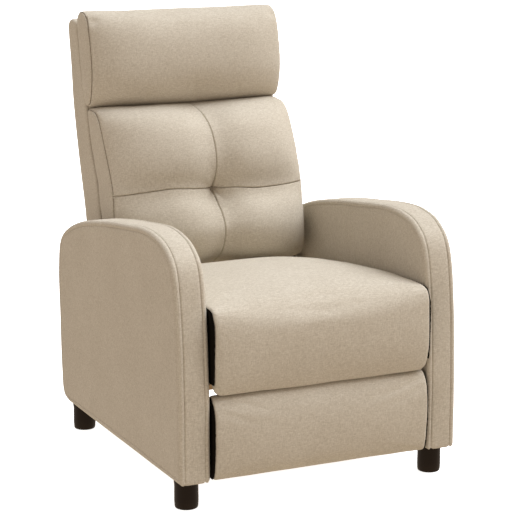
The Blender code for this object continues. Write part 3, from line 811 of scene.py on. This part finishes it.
def ramp(tree, factor, stops):
    """A colour ramp through (position, colour) stops."""
    made = tree.nodes.new("ShaderNodeValToRGB")
    tree.links.new(factor, made.inputs["Fac"])
    elements = made.color_ramp.elements
    while len(elements) < len(stops):
        elements.new(0.5)
    for element, (position, colour) in zip(elements, stops):
        element.position = position
        element.color = (*colour, 1)
    return made.outputs["Color"]


def object_position(tree):
    return tree.nodes.new("ShaderNodeTexCoord").outputs["Object"]


def set_colour(tree, shader, factor, stops):
    tree.links.new(ramp(tree, factor, stops), shader.inputs["Base Color"])


def set_roughness(tree, shader, factor, share, least):
    rough = math_node(tree, "MULTIPLY_ADD", factor, share, least)
    tree.links.new(rough, shader.inputs["Roughness"])


def set_relief(tree, shader, height, strength, distance):
    relief = node(tree, "ShaderNodeBump", Height=height, Strength=strength, Distance=distance)
    tree.links.new(relief.outputs["Normal"], shader.inputs["Normal"])


def linen_material():
    """Plain-woven linen blend: crossed threads, slubs, a heathered colour and a soft nap."""
    made, tree, shader = new_material("linen", (0.6, 0.5, 0.4), 0.93)
    place_node = tree.nodes.new("ShaderNodeTexCoord")
    position, normal = place_node.outputs["Object"], place_node.outputs["Normal"]
    turns = 2 * math.pi / WEAVE_PITCH
    waves = vector_node(tree, "SINE", vector_node(tree, "MULTIPLY", position, (turns,) * 3))
    split = node(tree, "ShaderNodeSeparateXYZ", Vector=waves)
    turned = node(tree, "ShaderNodeCombineXYZ", X=split.outputs["Y"], Y=split.outputs["Z"],
                  Z=split.outputs["X"])
    turned_again = node(tree, "ShaderNodeCombineXYZ", X=split.outputs["Z"], Y=split.outputs["X"],
                        Z=split.outputs["Y"])
    crossings = vector_node(tree, "MULTIPLY", turned.outputs[0], turned_again.outputs[0])
    facing = vector_node(tree, "MULTIPLY", normal, normal)
    weave = vector_node(tree, "DOT_PRODUCT", crossings, facing)

    along = vector_node(tree, "MULTIPLY", position, (520.0, 520.0, 120.0))
    across = vector_node(tree, "MULTIPLY", position, (120.0, 160.0, 560.0))
    slub = math_node(tree, "ADD", noise_node(tree, along, 1.0, 2.0),
                     noise_node(tree, across, 1.0, 2.0))
    heather = noise_node(tree, position, 360.0, 3.0, 0.65)
    cloud = noise_node(tree, position, 9.0, 3.0)
    mix = math_node(tree, "MULTIPLY_ADD", slub, 0.34, math_node(tree, "MULTIPLY", heather, 0.30))
    mix = math_node(tree, "ADD", mix, math_node(tree, "MULTIPLY", cloud, 0.10))
    mix = math_node(tree, "MULTIPLY_ADD", weave, 0.05, mix)
    set_colour(tree, shader, mix, (
        (0.30, (0.386, 0.335, 0.256)), (0.52, (0.541, 0.487, 0.394)),
        (0.74, (0.695, 0.650, 0.554))))
    height = math_node(tree, "MULTIPLY_ADD", weave, 0.6, math_node(tree, "MULTIPLY", slub, 0.9))
    set_relief(tree, shader, height, 0.45, 0.0005)
    shader.inputs["Sheen Weight"].default_value = 0.12
    shader.inputs["Sheen Roughness"].default_value = 0.5
    shader.inputs["Specular IOR Level"].default_value = 0.25
    return made


def wood_material():
    """Planed softwood, with grain along X, growth bands and fine pores."""
    made, tree, shader = new_material("planed_wood", (0.5, 0.36, 0.2), 0.6)
    position = object_position(tree)
    bands = noise_node(tree, vector_node(tree, "MULTIPLY", position, (3.0, 28.0, 28.0)), 1.6, 4.0)
    pores = noise_node(tree, vector_node(tree, "MULTIPLY", position, (40.0, 900.0, 900.0)), 1.0)
    mix = math_node(tree, "MULTIPLY_ADD", pores, 0.2, math_node(tree, "MULTIPLY", bands, 0.85))
    set_colour(tree, shader, mix, (
        (0.30, (0.33, 0.20, 0.10)), (0.50, (0.52, 0.36, 0.20)), (0.72, (0.64, 0.48, 0.30))))
    set_relief(tree, shader, mix, 0.3, 0.0006)
    return made


def painted_steel_material():
    """Black powder coat with a fine orange peel, rubbed a little lighter in places."""
    made, tree, shader = new_material("black_steel", (0.02, 0.02, 0.022), 0.4, 0.3)
    position = object_position(tree)
    peel = noise_node(tree, position, 900.0, 2.0)
    rub = noise_node(tree, position, 40.0, 4.0, 0.7)
    set_colour(tree, shader, rub, (
        (0.35, (0.012, 0.012, 0.013)), (0.75, (0.035, 0.034, 0.034))))
    set_roughness(tree, shader, rub, 0.25, 0.3)
    set_relief(tree, shader, peel, 0.25, 0.0002)
    return made


def foot_material():
    """Dark brown moulded plastic with a slight grain, scuffed near the floor."""
    made, tree, shader = new_material("brown_plastic", (0.012, 0.007, 0.004), 0.45)
    position = object_position(tree)
    grain = noise_node(tree, position, 700.0, 2.0)
    low = node(tree, "ShaderNodeSeparateXYZ", Vector=position).outputs["Z"]
    scuff = math_node(tree, "MULTIPLY", noise_node(tree, position, 120.0, 5.0, 0.7),
                      math_node(tree, "MULTIPLY_ADD", low, -20.0, 1.2))
    set_colour(tree, shader, scuff, (
        (0.35, (0.014, 0.0080, 0.0040)), (0.95, (0.026, 0.017, 0.010))))
    set_roughness(tree, shader, grain, 0.18, 0.34)
    set_relief(tree, shader, grain, 0.2, 0.0002)
    shader.inputs["Specular IOR Level"].default_value = 0.15
    return made


def felt_material():
    """Black non-woven dust cloth."""
    made, tree, shader = new_material("dust_cloth", (0.012, 0.011, 0.010), 0.95)
    position = object_position(tree)
    fibres = noise_node(tree, position, 800.0, 3.0, 0.7)
    set_colour(tree, shader, fibres, (
        (0.30, (0.004, 0.003, 0.002)), (0.75, (0.012, 0.009, 0.006))))
    set_relief(tree, shader, fibres, 0.4, 0.0004)
    shader.inputs["Specular IOR Level"].default_value = 0.05
    return made


def zinc_material():
    """Bright zinc-plated steel wire and bolts, slightly mottled."""
    made, tree, shader = new_material("zinc_plate", (0.6, 0.6, 0.58), 0.32, 1.0)
    position = object_position(tree)
    mottle = noise_node(tree, position, 90.0, 4.0, 0.6)
    set_colour(tree, shader, mottle, ((0.35, (0.46, 0.46, 0.45)), (0.70, (0.68, 0.68, 0.66))))
    set_roughness(tree, shader, mottle, 0.3, 0.18)
    return made


def dress(obj, material):
    """Gives a piece its material."""
    obj.data.materials.clear()
    obj.data.materials.append(material)


# Stage, light and camera

def make_stage():
    """A pale glowing floor that fills the view, a warm sky, and soft lights, most from one side."""
    bm = bmesh.new()
    bmesh.ops.create_grid(bm, x_segments=1, y_segments=1, size=60)
    floor = new_object("floor", bm, smooth=False)
    floor.location.z = -0.0005
    made, _, shader = new_material("floor_paint", (0.93, 0.93, 0.93), 0.9)
    shader.inputs["Specular IOR Level"].default_value = 0.0
    shader.inputs["Emission Color"].default_value = (1, 1, 1, 1)
    shader.inputs["Emission Strength"].default_value = 0.9
    floor.data.materials.append(made)
    floor.visible_diffuse = False
    floor.visible_glossy = False

    world = bpy.data.worlds.new("studio")
    bpy.context.scene.world = world
    world.use_nodes = True
    tree = world.node_tree
    background = tree.nodes["Background"]
    direction = tree.nodes.new("ShaderNodeTexCoord").outputs["Generated"]
    height = node(tree, "ShaderNodeSeparateXYZ", Vector=direction).outputs["Z"]
    factor = math_node(tree, "MULTIPLY_ADD", height, 0.5, 0.5)
    sky = ramp(tree, factor, (
        (0.0, (0.60, 0.50, 0.35)), (0.25, (0.87, 0.74, 0.60)), (0.5, (0.76, 0.65, 0.57)),
        (0.75, (0.57, 0.49, 0.43)), (0.93, (0.30, 0.26, 0.23)), (1.0, (0.30, 0.26, 0.23))))
    tree.links.new(sky, background.inputs["Color"])
    background.inputs["Strength"].default_value = 0.97

    for name, power, angle, tilt, turn in (
            ("key", 3.25, 50, 33, 80), ("side", 0.15, 50, 75, -80), ("rear", 0.3, 50, 40, 180),
            ("top", 0.3, 50, 0, 0)):
        light = bpy.data.lights.new(name, "SUN")
        light.energy = power
        light.angle = math.radians(angle)
        light.color = (0.97, 1.0, 1.05)
        lamp = bpy.data.objects.new(name, light)
        lamp.rotation_euler = (math.radians(tilt), 0, math.radians(turn))
        bpy.context.scene.collection.objects.link(lamp)


def make_camera():
    """A long lens from the front right of the chair, above its arms."""
    camera = bpy.data.cameras.new("camera")
    camera.sensor_width = 36
    camera.lens = 142.45
    camera.shift_x = -2.1 / IMAGE_SIZE
    camera.shift_y = -0.5 / IMAGE_SIZE
    obj = bpy.data.objects.new("camera", camera)
    obj.location = (-1.926, ARM_FRONT_Y - 3.816, 1.488)
    target = Vector((0.0133, ARM_FRONT_Y + 0.35, 0.4646))
    obj.rotation_euler = (target - obj.location).to_track_quat("-Z", "Y").to_euler()
    bpy.context.scene.collection.objects.link(obj)
    bpy.context.scene.camera = obj


def main():
    linen, wood, steel = linen_material(), wood_material(), painted_steel_material()
    plastic, zinc, felt = foot_material(), zinc_material(), felt_material()
    # Dark brown seam thread: partly the thread's own colour, partly painted shade along the seam
    # creases.
    new_material("seam_thread_and_painted_shade", (0.16, 0.115, 0.075), 0.8)
    finishes = {"linen_fabric": linen, "frame_wood": wood, "mechanism_steel": steel,
                "foot_plastic": plastic, "zinc_steel": zinc}
    slots = {part["node"]: part["material_slot"] for part in frame["record"]["subparts"]}
    for name, obj in frame["nodes"].items():
        dress(obj, finishes[slots[name]])
        obj.data.set_sharp_from_angle(angle=math.radians(35))

    pads = (
        (make_seat_cushion, "seat", "seat_cushion", 0.75),
        (make_footrest_pad, "footrest", "footrest_pad", 0.75),
        (make_back_cushion, "back", "back_cushion", 0.7),
        (make_headrest, "back", "headrest", 0.75),
    )
    for make, body, replaced, fill in pads:
        pad = make()
        dress(pad, linen)
        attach(pad, body)
        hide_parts(replaced)
    for sign, name in ((-1, "right"), (1, "left")):
        seat_x = [sign * (SEAT_HALF_WIDTH + t) for t in (0.0003, 0.0011)]
        rest_x = [sign * (FOOTREST_HALF_WIDTH + t) for t in (0.0003, 0.0011)]
        seat_cloth = make_side_cloth(
            f"seat_side_cloth_{name}", SEAT_SIDE, seat_x, "seat", 0.0030, 0.2825, 0.441)
        rest_cloth = make_side_cloth(
            f"footrest_side_cloth_{name}", FOOTREST_SIDE, rest_x, "footrest", 0.0030, 0.0, 1.0)
        dress(seat_cloth, felt)
        dress(rest_cloth, felt)
    covers = [make_arm_cover("left", 1), make_arm_cover("right", -1), make_back_panel()]
    for cover in covers:
        dress(cover, linen)
    for end in ("front", "rear"):
        for name in ("left", "right"):
            dress(make_foot(end, name), plastic)
    make_stage()
    make_camera()
    bpy.context.scene.view_settings.view_transform = "Standard"


main()
